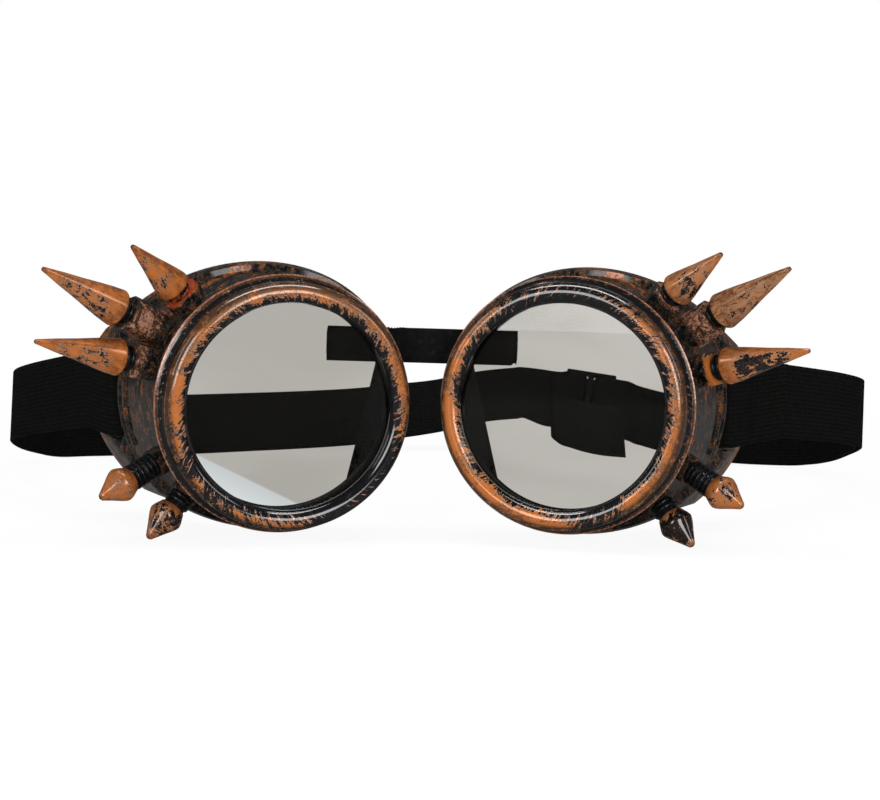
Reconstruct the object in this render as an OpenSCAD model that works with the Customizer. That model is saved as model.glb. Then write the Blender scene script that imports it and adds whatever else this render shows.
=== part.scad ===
// Steampunk goggles: two eyecups with screw-on bezels, clear lenses, spikes and studs,
// joined by a nose strip and an elastic head strap. Units are millimetres, +Z is up,
// the lenses face -Y, and the goggles stand on two studs and the back of the strap.

/* [Lens] */
// Diameter of the lens disc
lens_d = 50; // [46:0.5:52]
// Thickness of the lens disc
lens_t = 2; // [1:0.1:2]
// Thickness of the seal ring behind the lens
seal_t = 0.8; // [0.5:0.1:1]

/* [Bezel] */
// Radius of the opening in front of the lens
opening_r = 24; // [22:0.5:24.5]
// Outer radius of the bezel's round front
bezel_r = 28.9; // [28.6:0.1:29.5]
// Outer radius of the thin lip at the bezel's back
bezel_lip_r = 30.4; // [29.8:0.1:31]
// Length of the bezel, front to back
bezel_len = 8.2; // [7.8:0.1:8.4]
// Depth of the lens seat, from the bezel's front
seat_depth = 2.2; // [2:0.1:2.4]

/* [Eyecup] */
// Outer radius of the barrel that the bezel screws on
barrel_r = 26.9; // [26.6:0.1:27]
// Running gap between the barrel and the bezel, on the radius
thread_gap = 0.1; // [0.05:0.05:0.1]
// Radius of the barrel's bore
bore_r = 24.6; // [24:0.1:24.8]
// Radius of the skirt where it starts behind the bezel
skirt_front_r = 28.2; // [27.6:0.1:28.6]
// Radius of the skirt at its rim, above and below the eye
rim_r = 31.1; // [30.3:0.1:32]
// Depth of the rim above and below the eye
rim_depth = 21.3; // [20:0.1:23]
// Flare of the long outer side, in degrees from the lens axis
side_flare = 13.5; // [10:0.5:14.5]
// Thickness of the eyecup's wall
wall = 2.2; // [1.6:0.1:2.4]
// Radius of the face curve that the back of the eyecup follows
face_r = 72; // [66:1:90]
// How far the rolled rim stands out from the skirt
rim_bead = 1.3; // [0.8:0.1:1.6]

/* [Strap lug] */
// Depth of the lug's back edge
lug_depth = 54.5; // [52:0.5:57]
// Depth of the strap slot's front edge
slot_depth = 36; // [34:0.5:38]
// Width of the strap slot
slot_w = 3.8; // [3.4:0.1:5]

/* [Stance] */
// Distance from the middle to each lens centre
cup_x = 30.7; // [30:0.1:33]
// How far the left eyecup turns in, in degrees
toe_left = 18.5; // [15:0.5:20]
// How far the right eyecup turns in, in degrees
toe_right = 15; // [13:0.5:20]
// How far the right eyecup tips back, in degrees
tip_right = 4; // [0:0.5:5]
// How far the right eyecup has rolled, outer side down, in degrees
roll_right = 1.5; // [0:0.5:3]

/* [Nose strip] */
// Length of the nose strip
strip_len = 46; // [42:1:54]
// Height of the nose strip
strip_h = 7.5; // [6:0.5:8]
// Thickness of the nose strip
strip_t = 1.2; // [1:0.1:1.5]

/* [Head strap] */
// Width of the elastic strap
strap_w = 19.5; // [18:0.5:20.5]
// Thickness of the elastic strap
strap_t = 1; // [0.8:0.1:1]

/* [Strap slider] */
// Length of the slider along the strap
slider_len = 17; // [16:0.5:18]
// Height of the slider
slider_h = 25; // [24.5:0.5:28]
// Thickness of the slider's frame
slider_t = 2; // [1.6:0.1:2]

/* [Hidden] */
$fn = 96;
LEFT = -1;
RIGHT = 1;

// The shapes are drawn from the point midway between the lenses. As the goggles stand, they
// tip forward a little and one side is a little lower, and this is where that point comes
// to lie: how far in front of the middle of the base, and how high over the table.
tip_forward = 2;
tilt = 1.1;
base_x = 2.11;
base_y = 87.27;
row_z = 32.26;

// Depths along the lens axis, from the bezel's front
lens_back = seat_depth + lens_t;
barrel_front = lens_back + seal_t;
skirt_front = bezel_len + 0.7;
thread_pitch = 1.5;

copper = [0.72, 0.36, 0.14];
black_plastic = [0.05, 0.05, 0.055];
black_cloth = [0.03, 0.03, 0.03];
clear = [0.86, 0.88, 0.88, 0.35];

// How each eyecup hangs on the nose strip: turned in, tipped back, rolled and set
// a little forward or back
function toe(side) = side == LEFT ? toe_left : toe_right;
function tip(side) = side == LEFT ? 0 : tip_right;
function roll(side) = side == LEFT ? 0 : roll_right;
function cup_y(side) = side == LEFT ? -0.7 : 0.8;

// A point of an eyecup, given outward, upward and backward along its lens axis
function cup_point(side, out, up, back) =
    let (r = roll(side), q = tip(side), t = toe(side))
    let (o = out * cos(r) + up * sin(r), u = up * cos(r) - out * sin(r))
    let (h = u * cos(q) - back * sin(q), b = u * sin(q) + back * cos(q))
    [side * (cup_x + o * cos(t) + b * sin(t)), cup_y(side) + b * cos(t) - o * sin(t), h];

// Puts a shape drawn with x outward, y up and z forward into its place on one side
module on_side(side) {
    translate([side * cup_x, cup_y(side), 0])
        mirror([side == LEFT ? 1 : 0, 0, 0])
            rotate([0, 0, -toe(side)])
                rotate([90 - tip(side), 0, 0])
                    rotate([0, 0, -roll(side)])
                        children();
}

// Puts the whole of the goggles on their own base
module stand() {
    translate([-base_x, -base_y, row_z])
        rotate([tip_forward, -tilt, 0])
            children();
}

// Lens, seal and bezel

module lens_disc() {
    chamfer = 0.3;
    rotate_extrude()
        polygon([
            [0, -lens_back], [lens_d / 2 - chamfer, -lens_back],
            [lens_d / 2, -lens_back + chamfer], [lens_d / 2, -seat_depth - chamfer],
            [lens_d / 2 - chamfer, -seat_depth], [0, -seat_depth]
        ]);
}

module seal_ring() {
    rotate_extrude()
        translate([bore_r - 0.1, -barrel_front])
            square([barrel_r - bore_r - 0.3, seal_t]);
}

module bezel_ring() {
    tube_r = (bezel_r - opening_r) / 2;
    waist_r = bezel_r - 0.5;
    bore = barrel_r + thread_gap;
    seat_r = lens_d / 2 + 0.15;
    round_front = [
        for (a = [150 : -7.5 : 0]) [opening_r + tube_r * (1 + cos(a)), tube_r * (sin(a) - 1)]
    ];
    rotate_extrude()
        polygon(concat(
            [[opening_r, -seat_depth], [opening_r, -1.2]],
            round_front,
            [
                [bezel_r, -tube_r - 0.9], [waist_r, -tube_r - 1.4], [waist_r, -bezel_len + 2.4],
                [bezel_lip_r, -bezel_len + 0.7], [bezel_lip_r, -bezel_len], [bore, -bezel_len],
                [bore, -lens_back], [seat_r, -lens_back], [seat_r, -seat_depth]
            ]
        ));
}

// Eyecup

// The skirt's radius at a depth, outside the wall
function skirt_r(back) = back < rim_depth
    ? skirt_front_r + (rim_r - skirt_front_r) * (back - skirt_front) / (rim_depth - skirt_front)
    : rim_r + (back - rim_depth) * tan(side_flare);

skirt_end = lug_depth + 6;
skirt_up = 0.35;

// The skirt as a solid of revolution, grown by some thickness or shrunk where it is negative
module skirt_solid(grow, front) {
    translate([0, skirt_up, 0])
        rotate_extrude()
            polygon([
                [0, -front], [skirt_r(front) + grow, -front], [rim_r + grow, -rim_depth],
                [skirt_r(skirt_end) + grow, -skirt_end], [0, -skirt_end]
            ]);
}

// The head's side of the face curve, which the back of the eyecup is cut to
nose_out = -21;
module face_curve(extra) {
    axis_depth = rim_depth + sqrt(face_r * face_r - nose_out * nose_out);
    translate([nose_out, 0, -axis_depth])
        rotate([90, 0, 0])
            cylinder(r = face_r + extra, h = 120, center = true, $fn = 180);
}

// The flat slanted side by the nose, as all that lies beyond it
nose_turn = 15;
nose_slant = 20;
nose_reach = 22.7;
nose_reach_depth = 17;
module nose_side(grow) {
    rotate([0, 0, nose_turn])
        translate([-nose_reach - grow, 0, -nose_reach_depth])
            rotate([0, -nose_slant, 0])
                translate([-60, -60, -80])
                    cube([60, 120, 160]);
}

// Side view of the strap lug, depth along x and height along y
lug_outline = [
    [26, 24], [44, 20], [lug_depth - 2.5, 15], [lug_depth, 12],
    [lug_depth + 0.5, -12], [lug_depth - 2.5, -20], [lug_depth - 5, -26], [28, -28]
];
module lug_prism() {
    rotate([0, 90, 0])
        linear_extrude(60)
            polygon(lug_outline);
}

// All that may hold plastic: in front of the face curve, or in the lug
module shell_limits() {
    difference() {
        skirt_solid(rim_bead + 1, skirt_front);
        face_curve(0);
    }
    intersection() {
        skirt_solid(0.01, skirt_front);
        lug_prism();
    }
}

module skirt_wall() {
    difference() {
        intersection() {
            union() {
                skirt_solid(0, skirt_front);
                rim_roll();
            }
            shell_limits();
        }
        nose_side(wall);
        difference() {
            skirt_solid(-wall, skirt_front + 1.6);
            nose_side(0);
        }
    }
}

// The rolled rim, which follows the back edge of the skirt and stops at the strap
rim_roll_w = 2.8;
module rim_roll() {
    strap_bed = strap_w + 3;
    difference() {
        intersection() {
            skirt_solid(rim_bead, skirt_front + 4);
            face_curve(rim_roll_w);
        }
        translate([25, -strap_bed / 2, -skirt_end]) cube([30, strap_bed, skirt_end]);
    }
}

module barrel() {
    translate([0, 0, -skirt_front - 2])
        cylinder(r = barrel_r, h = skirt_front + 2 - barrel_front);
}

// Moulded seats that carry the spikes and studs: a six-sided block under each spike and a
// round boss under each stud

// Each one's angle round the cup and depth where its axis meets the skirt, the direction
// it points in round the cup, its lean to the front, and its seat's height, left then right
UPPER = 0;
MIDDLE = 1;
SIDE = 2;
SIDE_STUD = 3;
LOWER_STUD = 4;
spikes = [UPPER, MIDDLE, SIDE, SIDE_STUD, LOWER_STUD];
foot_angle = [[49.8, 32.5, 18, -26.3, -44], [51.9, 34.6, 17.5, -26.6, -45.2]];
foot_depth = [[18.6, 21.5, 19.2, 19.3, 17.3], [19, 22, 19.2, 19, 17.5]];
points_to = [[43.5, 29.6, 14.7, -24.3, -44], [39.4, 34, 14.4, -27.2, -46]];
lean = [[28, 26, 24.6, 25.3, 20], [30.2, 32.5, 27.2, 24.8, 21.4]];
seat_h = [[4, 10.4, 5.6, 2, 1.4], [4.2, 9.2, 4.8, 1.8, 1.4]];
turned = [0, 0, 30];
block_r = 4.5;
boss_r = 3.5;
foot_out = 0.35;
vent_r = 1.35;

function row(side) = side == LEFT ? 0 : 1;
function is_stud(i) = i >= SIDE_STUD;

// Places a shape, drawn along +z, on a spike's axis with z = 0 on the skirt
module on_spike(side, i) {
    a = foot_angle[row(side)][i];
    d = foot_depth[row(side)][i];
    r = skirt_r(d) + foot_out;
    translate([r * cos(a), r * sin(a), -d])
        rotate([0, 0, points_to[row(side)][i]])
            rotate([0, 90 - lean[row(side)][i], 0])
                children();
}

module spike_seat(side, i) {
    h = seat_h[row(side)][i];
    root = 1.6;
    on_spike(side, i)
        translate([0, 0, -root])
            if (is_stud(i)) {
                cylinder(r = boss_r, h = root + h, $fn = 48);
            } else {
                rotate([0, 0, 30 + turned[i]]) cylinder(r = block_r, h = root + h, $fn = 6);
            }
}

// The vent in the lower front face of the right side block
module vent_hole() {
    on_spike(RIGHT, SIDE)
        translate([0, 0, 2.2])
            rotate([0, 0, 210])
                rotate([0, 90, 0])
                    translate([0, 0, 1.6]) cylinder(r = vent_r, h = 5, $fn = 48);
}

// A ridge round the skirt just in front of the strap slot
module slot_ridge(front) {
    ridge_w = 1;
    intersection() {
        difference() {
            skirt_solid(0.7, skirt_front);
            skirt_solid(-wall / 2, skirt_front);
        }
        translate([20, -slot_half - 1.2, -front - ridge_w])
            cube([30, 2 * slot_half + 2.4, ridge_w]);
    }
}

module eyecup(side) {
    color(copper) difference() {
        on_side(side) difference() {
            union() {
                skirt_wall();
                barrel();
                for (i = spikes) spike_seat(side, i);
                for (gap = [0.8, 3.6]) slot_ridge(slot_depth - gap - 1);
            }
            translate([0, 0, -skirt_front - 2.5]) cylinder(r = bore_r, h = skirt_front);
            strap_slot();
            if (side == RIGHT) vent_hole();
        }
        strip_slot();
    }
}

module strap_slot() {
    translate([25, -slot_half, -slot_depth - slot_w])
        cube([20, 2 * slot_half, slot_w]);
}
slot_half = strap_w / 2 + 0.7;

// Spikes and studs: a black ribbed neck and a tapered body

neck_r = 2.7;
neck_rib_r = 3.15;
neck_rib_pitch = 1.3;
spike_len = [16, 22, 22, 9, 9.5];
spike_base_r = [4.1, 4.45, 4.4, 3.1, 3.1];
neck_h = [2.6, 3, 3, 6.9, 3.6];
stud_max_r = 4.1;

module neck(h) {
    ribs = floor((h - 0.4) / neck_rib_pitch);
    rotate_extrude($fn = 48) {
        square([neck_r, h]);
        for (k = [0 : ribs - 1])
            translate([0, 0.4 + k * neck_rib_pitch]) square([neck_rib_r, 0.7]);
    }
}

module long_spike(len, base_r) {
    tip_r = 0.6;
    rotate_extrude($fn = 64)
        polygon([
            [0, 0], [base_r - 0.3, 0], [base_r, 0.35], [base_r * 0.9, len * 0.16],
            [base_r * 0.55, len * 0.52], [tip_r + 0.15, len * 0.93], [tip_r, len * 0.975],
            [tip_r * 0.5, len], [0, len]
        ]);
}

module short_stud(len, base_r) {
    rotate_extrude($fn = 64)
        polygon([
            [0, 0], [base_r, 0], [stud_max_r - 0.15, len * 0.22], [stud_max_r, len * 0.3],
            [stud_max_r * 0.86, len * 0.45], [1.1, len * 0.9], [0.7, len * 0.97], [0.4, len], [0, len]
        ]);
}

module spike(side, i) {
    color(copper) on_side(side) on_spike(side, i)
        translate([0, 0, seat_h[row(side)][i]]) {
            neck(neck_h[i]);
            cylinder(r = neck_r, h = neck_h[i] + 1);
            translate([0, 0, neck_h[i]])
                if (is_stud(i)) {
                    short_stud(spike_len[i], spike_base_r[i]);
                } else {
                    long_spike(spike_len[i], spike_base_r[i]);
                }
        }
}

// Nose strip

strip_at = [-1.1, 19, 13.2];
strip_fall = 1.7;
strip_gap = 0.3;

module strip_box(grow, len) {
    translate(strip_at)
        rotate([0, strip_fall, 0])
            cube([len, strip_t + 2 * grow, strip_h + 2 * grow], center = true);
}

module nose_strip() {
    color(black_plastic) strip_box(0, strip_len);
}

module strip_slot() {
    strip_box(strip_gap, strip_len + 20);
}

// Head strap: one ribbon, given by points along its middle and the lean of its top outward

// A smooth curve through points, with some steps between each pair
function blend4(a, b, c, d, t) =
    0.5 * (2 * b + (c - a) * t + (2 * a - 5 * b + 4 * c - d) * t * t + (3 * b - a - 3 * c + d) * t * t * t);
function smooth(p, steps) = [
    for (i = [0 : len(p) - 2], k = [0 : steps - 1])
        blend4(p[max(i - 1, 0)], p[i], p[i + 1], p[min(i + 2, len(p) - 1)], k / steps),
    p[len(p) - 1]
];

// The way along a path at a point, level with the table, and the side that faces out
function heading(p, i) =
    let (a = p[max(i - 1, 0)], b = p[min(i + 1, len(p) - 1)], v = [b[0] - a[0], b[1] - a[1]])
    v / norm(v);
function outward(p, i) = let (h = heading(p, i)) [-h[1], h[0]];
function shifted(p, by) = [
    for (i = [0 : len(p) - 1])
        let (n = outward(p, i)) [p[i][0] + n[0] * by, p[i][1] + n[1] * by, p[i][2], p[i][3]]
];
function reversed(p) = [for (i = [len(p) - 1 : -1 : 0]) [p[i][0], p[i][1], p[i][2], -p[i][3]]];
function part_of(p, first, last) = [for (i = [first : last]) p[i]];

// Hand-chosen stations: x, y, height over the lens centres, lean of the top in degrees
left_run = [
    [-95.5, 53, -3.2, 0], [-107, 67, -6.5, 0], [-115.5, 80, -9.6, -3], [-120.3, 95, -13.2, -5],
    [-122, 111, -17.8, -4], [-121, 125, -21.6, 0], [-118.3, 137, -24.6, 2], [-110, 142.8, -25.3, 4],
    [-96.5, 146.5, -25.6, 6], [-79, 153, -26.2, 8], [-62, 162.5, -26.9, 10], [-44, 170.8, -27.3, 13],
    [-26, 174, -26.6, 19], [-12, 176.5, -25.2, 26], [2, 178.5, -23.6, 32], [18, 181, -20.6, 35],
    [32, 182, -19.4, 34]
];
right_run = [
    [71.3, 178, -26.8, 12], [79.6, 173, -28.5, 8], [89, 163, -29.2, 5], [99.5, 154.5, -29.4, 3],
    [111.5, 150, -29.4, 0], [120.5, 143, -28.3, 0], [124.3, 128, -24.6, 0], [125.2, 111, -19.8, 0],
    [124.6, 96, -15.6, 0], [121, 84, -12.6, 0], [112, 71.5, -9.6, 0], [101, 60, -7, 0],
    [92, 50.5, -5, 0]
];

// The strap's way round a lug, outward and backward along the lens axis: over the outer
// face, in through the slot and back along the inside
layer = strap_t + 0.3;
function lug_out(back) = skirt_r(back) + strap_t / 2 + 0.35;
function lug_in(back) = sqrt(pow(skirt_r(back) - wall, 2) - strap_w * strap_w / 4) - strap_t / 2 - 0.4;
slot_mid = slot_depth + slot_w / 2;
lug_loop = [
    [lug_out(lug_depth + 2), lug_depth + 2.5],
    [lug_out(50), 50],
    [lug_out(44), 44],
    [lug_out(slot_mid + 2.6), slot_mid + 2.6],
    [lug_out(slot_mid) - 0.2, slot_mid + 0.8],
    [lug_out(slot_mid) - 1.7, slot_mid + 0.2],
    [lug_in(slot_mid) + 1.1, slot_mid],
    [lug_in(slot_mid) - 0.5, slot_mid + 0.8],
    [lug_in(43) - 0.6, 43],
    [lug_in(49) - 0.3, 49],
    [lug_in(lug_depth) + 0.4, lug_depth + 1],
];
function lug_path(side) = [
    for (p = lug_loop) let (w = cup_point(side, p[0], 0, p[1])) [w[0], w[1], w[2] - 0.5, 0]
];

// The slider's middle and its own directions: along the strap, outward and up
slider_at = [53.5, 178.6, -23.4];
slider_turn = -9;
slider_lean = 22;
slider_fall = 8;
function turned_flat(v) = [
    v[0] * cos(slider_turn) - v[1] * sin(slider_turn), v[0] * sin(slider_turn) + v[1] * cos(slider_turn), v[2]
];
slider_run = turned_flat([cos(slider_fall), 0, -sin(slider_fall)]);
slider_out = turned_flat([-sin(slider_lean) * sin(slider_fall), cos(slider_lean), -sin(slider_lean) * cos(slider_fall)]);
slider_up = turned_flat([cos(slider_lean) * sin(slider_fall), sin(slider_lean), cos(slider_lean) * cos(slider_fall)]);

// The strap's weave through the slider, along the strap and outward from the slider's middle:
// straight through over the middle bar, and back round the middle bar from inside
bar_w = 2;
through = [
    [-12, -0.8], [-8.8, -1.8], [-6.4, -1.85], [-5.3, -1.4], [-4.4, -0.3], [-3.4, 1.4], [-2.4, 2.7],
    [-1.3, 3.2], [0, 3.3], [1.3, 3.2], [2.4, 2.7], [3.4, 1.4], [4.4, -0.3], [5.3, -1.4], [6.4, -1.85],
    [8.8, -1.9], [12, -1.4]
];
wrap = [
    [13, -3.1], [9, -3.25], [6.2, -3.15], [4.4, -2.6], [3, -1.9], [2, -1.2], [1.9, 0], [1.85, 1.25],
    [1.3, 1.9], [0, 2], [-1.3, 1.9], [-1.85, 1.25], [-1.9, 0], [-2, -1.2], [-3, -2.2], [-4.6, -2.9],
    [-6.4, -3.2], [-8.6, -3.7]
];
function slider_point(s, n) =
    let (q = slider_at + s * slider_run + n * slider_out) [q[0], q[1], q[2], 0, slider_up];

// The strap's free end, which folds over and falls forward from the slider
tail = [
    [42.4, 174.9, -21.9, 24], [41.2, 172.8, -23.4, 26], [41.8, 170.8, -25, 29], [43.8, 169.5, -26.4, 32],
    [46.6, 168.8, -27.4, 35], [50.5, 167.2, -28.7, 39], [57, 165.5, -30, 41], [64.5, 162.5, -30.3, 42]
];
function leaning_back(p) = [p[0], p[1], p[2], 0, [0, sin(p[3]), cos(p[3])]];

outer_gap = 0.75;
sewn_end = 3;
left_curve = smooth(left_run, 4);
right_curve = smooth(right_run, 4);

strap_points = concat(
    reversed(part_of(shifted(left_curve, -layer - 0.2), 0, sewn_end)),
    reversed(lug_path(LEFT)),
    left_curve,
    [for (p = through) slider_point(p[0], p[1])],
    shifted(right_curve, outer_gap),
    lug_path(RIGHT),
    reversed(shifted(right_curve, -outer_gap)),
    [for (p = wrap) slider_point(p[0], p[1])],
    [for (p = tail) leaning_back(p)]
);

// The four corners of the ribbon at each station, and its faces. A station's fifth value, if
// it has one, is the way its width goes.
function place_of(p, i) = let (q = p[max(0, min(i, len(p) - 1))]) [q[0], q[1], q[2]];
function ribbon_ring(p, i) =
    let (n = outward(p, i), c = place_of(p, i), a = p[i][3])
    let (up = len(p[i]) > 4 ? p[i][4] : [n[0] * sin(a), n[1] * sin(a), cos(a)])
    let (across = cross(up, place_of(p, i + 1) - place_of(p, i - 1)))
    let (half_w = up * strap_w / 2, half_t = across / norm(across) * strap_t / 2)
    [c - half_w - half_t, c - half_w + half_t, c + half_w + half_t, c + half_w - half_t];

module ribbon(p) {
    n = len(p);
    points = [for (i = [0 : n - 1]) each ribbon_ring(p, i)];
    walls = [
        for (i = [0 : n - 2], k = [0 : 3])
            let (a = 4 * i + k, b = 4 * i + (k + 1) % 4)
            each [[a, a + 4, b + 4], [a, b + 4, b]]
    ];
    ends = [[0, 1, 2], [0, 2, 3], [4 * n - 2, 4 * n - 3, 4 * n - 4], [4 * n - 1, 4 * n - 2, 4 * n - 4]];
    polyhedron(points, concat(walls, ends));
}

module head_strap() {
    color(black_cloth) ribbon(strap_points);
}

// Slider: a frame with two windows and a bar between them

module strap_slider() {
    window = (slider_len - 3 * bar_w) / 2;
    window_h = strap_w + 1;
    color(black_plastic)
        translate(slider_at)
            rotate([0, 0, slider_turn])
                rotate([-slider_lean, slider_fall, 0])
                    difference() {
                        translate([0, slider_t / 2, 0])
                            rotate([90, 0, 0])
                                linear_extrude(slider_t)
                                    slider_outline();
                        for (s = [-1, 1])
                            translate([s * (bar_w + window) / 2 - window / 2, -slider_t, -window_h / 2])
                                cube([window, 2 * slider_t, window_h]);
                    }
}

module slider_outline() {
    corner = 2;
    for (x = [-1, 1], y = [-1, 1])
        translate([x * (slider_len / 2 - corner), y * (slider_h / 2 - corner)]) circle(corner, $fn = 32);
    square([slider_len - 2 * corner, slider_h], center = true);
    square([slider_len, slider_h - 2 * corner], center = true);
}

module lens(side) {
    color(clear) on_side(side) lens_disc();
}

module lens_seal(side) {
    color(black_plastic) on_side(side) seal_ring();
}

module bezel(side) {
    color(copper) on_side(side) bezel_ring();
}

stand() eyecup(LEFT);  // left_eyecup
stand() lens_seal(LEFT);  // left_lens_seal
stand() lens(LEFT);  // left_lens
stand() bezel(LEFT);  // left_bezel
stand() spike(LEFT, UPPER);  // left_upper_spike
stand() spike(LEFT, MIDDLE);  // left_middle_spike
stand() spike(LEFT, SIDE);  // left_side_spike
stand() spike(LEFT, SIDE_STUD);  // left_side_stud
stand() spike(LEFT, LOWER_STUD);  // left_lower_stud
stand() eyecup(RIGHT);  // right_eyecup
stand() lens_seal(RIGHT);  // right_lens_seal
stand() lens(RIGHT);  // right_lens
stand() bezel(RIGHT);  // right_bezel
stand() spike(RIGHT, UPPER);  // right_upper_spike
stand() spike(RIGHT, MIDDLE);  // right_middle_spike
stand() spike(RIGHT, SIDE);  // right_side_spike
stand() spike(RIGHT, SIDE_STUD);  // right_side_stud
stand() spike(RIGHT, LOWER_STUD);  // right_lower_stud
stand() nose_strip();
stand() head_strap();
stand() strap_slider();
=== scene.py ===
from math import cos, pi, radians, sin, tan

import bmesh
import bpy
from mathutils import Matrix, Vector


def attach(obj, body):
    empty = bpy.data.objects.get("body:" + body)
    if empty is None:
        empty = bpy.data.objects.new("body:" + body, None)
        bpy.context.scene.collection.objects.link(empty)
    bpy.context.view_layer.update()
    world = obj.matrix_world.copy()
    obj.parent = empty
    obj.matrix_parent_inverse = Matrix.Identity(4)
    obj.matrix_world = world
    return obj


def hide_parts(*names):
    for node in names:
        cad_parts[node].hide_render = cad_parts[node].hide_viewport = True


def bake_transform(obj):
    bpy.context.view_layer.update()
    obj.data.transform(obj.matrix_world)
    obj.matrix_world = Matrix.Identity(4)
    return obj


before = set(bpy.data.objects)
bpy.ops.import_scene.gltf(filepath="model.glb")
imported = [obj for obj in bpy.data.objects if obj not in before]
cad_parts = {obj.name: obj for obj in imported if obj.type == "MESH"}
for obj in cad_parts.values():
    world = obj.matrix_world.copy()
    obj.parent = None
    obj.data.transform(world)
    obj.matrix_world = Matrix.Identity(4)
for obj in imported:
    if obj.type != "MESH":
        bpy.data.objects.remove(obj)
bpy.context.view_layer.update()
MM = 0.001
LEFT, RIGHT = -1, 1
SOFT_EDGE = 0.0003

# How the goggles stand, as in the part's source

BASE = Vector((-2.11, -87.27, 32.26))
TIP_FORWARD, TILT = radians(2), radians(1.1)
CUP_X, CUP_Y = 30.7, {LEFT: -0.7, RIGHT: 0.8}
TOE = {LEFT: radians(18.5), RIGHT: radians(15)}
TIP = {LEFT: 0.0, RIGHT: radians(4)}
ROLL = {LEFT: 0.0, RIGHT: radians(1.5)}


def turn(angle, axis):
    return Matrix.Rotation(angle, 4, axis)


STAND = Matrix.Scale(MM, 4) @ Matrix.Translation(BASE) @ turn(-TILT, "Y") @ turn(TIP_FORWARD, "X")


def cup_place(side):
    """Where a shape drawn in a cup's own directions goes: x outward, y up, z forward, in mm."""
    flip = Matrix.Diagonal((side, 1, 1, 1))
    return (STAND @ Matrix.Translation((side * CUP_X, CUP_Y[side], 0)) @ flip @ turn(-TOE[side], "Z")
            @ turn(pi / 2 - TIP[side], "X") @ turn(-ROLL[side], "Z"))


# Stations of the spikes and studs on each cup, in degrees and mm: angle and depth of the foot,
# the way it points, its lean to the front, the heights of its seat and neck, its own length, the
# radius of its base, and how far all their feet stand off the skirt

KINDS = ["upper_spike", "middle_spike", "side_spike", "side_stud", "lower_stud"]
FOOT_ANGLE = {LEFT: [49.8, 32.5, 18, -26.3, -44], RIGHT: [51.9, 34.6, 17.5, -26.6, -45.2]}
FOOT_DEPTH = {LEFT: [18.6, 21.5, 19.2, 19.3, 17.3], RIGHT: [19, 22, 19.2, 19, 17.5]}
POINTS_TO = {LEFT: [43.5, 29.6, 14.7, -24.3, -44], RIGHT: [39.4, 34, 14.4, -27.2, -46]}
LEAN = {LEFT: [28, 26, 24.6, 25.3, 20], RIGHT: [30.2, 32.5, 27.2, 24.8, 21.4]}
SEAT_H = {LEFT: [4, 10.4, 5.6, 2, 1.4], RIGHT: [4.2, 9.2, 4.8, 1.8, 1.4]}
NECK_H = [2.6, 3, 3, 6.9, 3.6]
SPIKE_LEN = [16, 22, 22, 9, 9.5]
SPIKE_BASE_R = [4.1, 4.45, 4.4, 3.1, 3.1]
FOOT_LIFT = 0.35
SIDE_NAME = {LEFT: "left", RIGHT: "right"}

# The skirt in mm: depth behind the bezel's front and radius, at its start and at the rolled
# rim, and its flare behind that rim
SKIRT_START, SKIRT_RIM, FLARE = (8.9, 28.2), (21.3, 31.1), radians(13.5)


def skirt_r(back):
    """The skirt's radius at a depth behind the bezel's front, in mm."""
    (start, start_r), (rim, rim_r) = SKIRT_START, SKIRT_RIM
    if back < rim:
        return start_r + (rim_r - start_r) * (back - start) / (rim - start)
    return rim_r + (back - rim) * tan(FLARE)


def spike_place(side, i):
    """Where a spike drawn along +z goes, z = 0 at the top of its seat."""
    a, d = radians(FOOT_ANGLE[side][i]), FOOT_DEPTH[side][i]
    r = skirt_r(d) + FOOT_LIFT
    return (cup_place(side) @ Matrix.Translation((r * cos(a), r * sin(a), -d))
            @ turn(radians(POINTS_TO[side][i]), "Z") @ turn(radians(90 - LEAN[side][i]), "Y")
            @ Matrix.Translation((0, 0, SEAT_H[side][i])))


# Mesh helpers


def new_piece(name, bm, material, place=None, smooth=radians(35)):
    """Puts a mesh in its place, faces out, and shades its round faces smooth."""
    if place is not None:
        bmesh.ops.transform(bm, matrix=place, verts=bm.verts)
    bmesh.ops.remove_doubles(bm, verts=bm.verts, dist=1e-7)
    bmesh.ops.recalc_face_normals(bm, faces=bm.faces)
    mesh = bpy.data.meshes.new(name)
    bm.to_mesh(mesh)
    bm.free()
    mesh.materials.append(material)
    mesh.shade_smooth()
    mesh.set_sharp_from_angle(angle=smooth)
    obj = bpy.data.objects.new(name, mesh)
    bpy.context.scene.collection.objects.link(obj)
    return obj


def lathe(profile, steps, closed=False):
    """Spins a profile of (radius, height) points in mm about z."""
    bm = bmesh.new()
    ring = [bm.verts.new((r, 0, z)) for r, z in profile]
    edges = [bm.edges.new(pair) for pair in zip(ring, ring[1:])]
    if closed:
        edges.append(bm.edges.new((ring[-1], ring[0])))
    bmesh.ops.spin(bm, geom=ring + edges, cent=(0, 0, 0), axis=(0, 0, 1), angle=2 * pi, steps=steps,
                   use_merge=True)
    bmesh.ops.remove_doubles(bm, verts=bm.verts, dist=1e-4)
    return bm


def arc(cx, cz, r, start, end, steps):
    """Points on an arc of a profile, from one angle to another in degrees."""
    angles = [radians(start + (end - start) * k / steps) for k in range(steps + 1)]
    return [(cx + r * cos(a), cz + r * sin(a)) for a in angles]


# Materials


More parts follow.
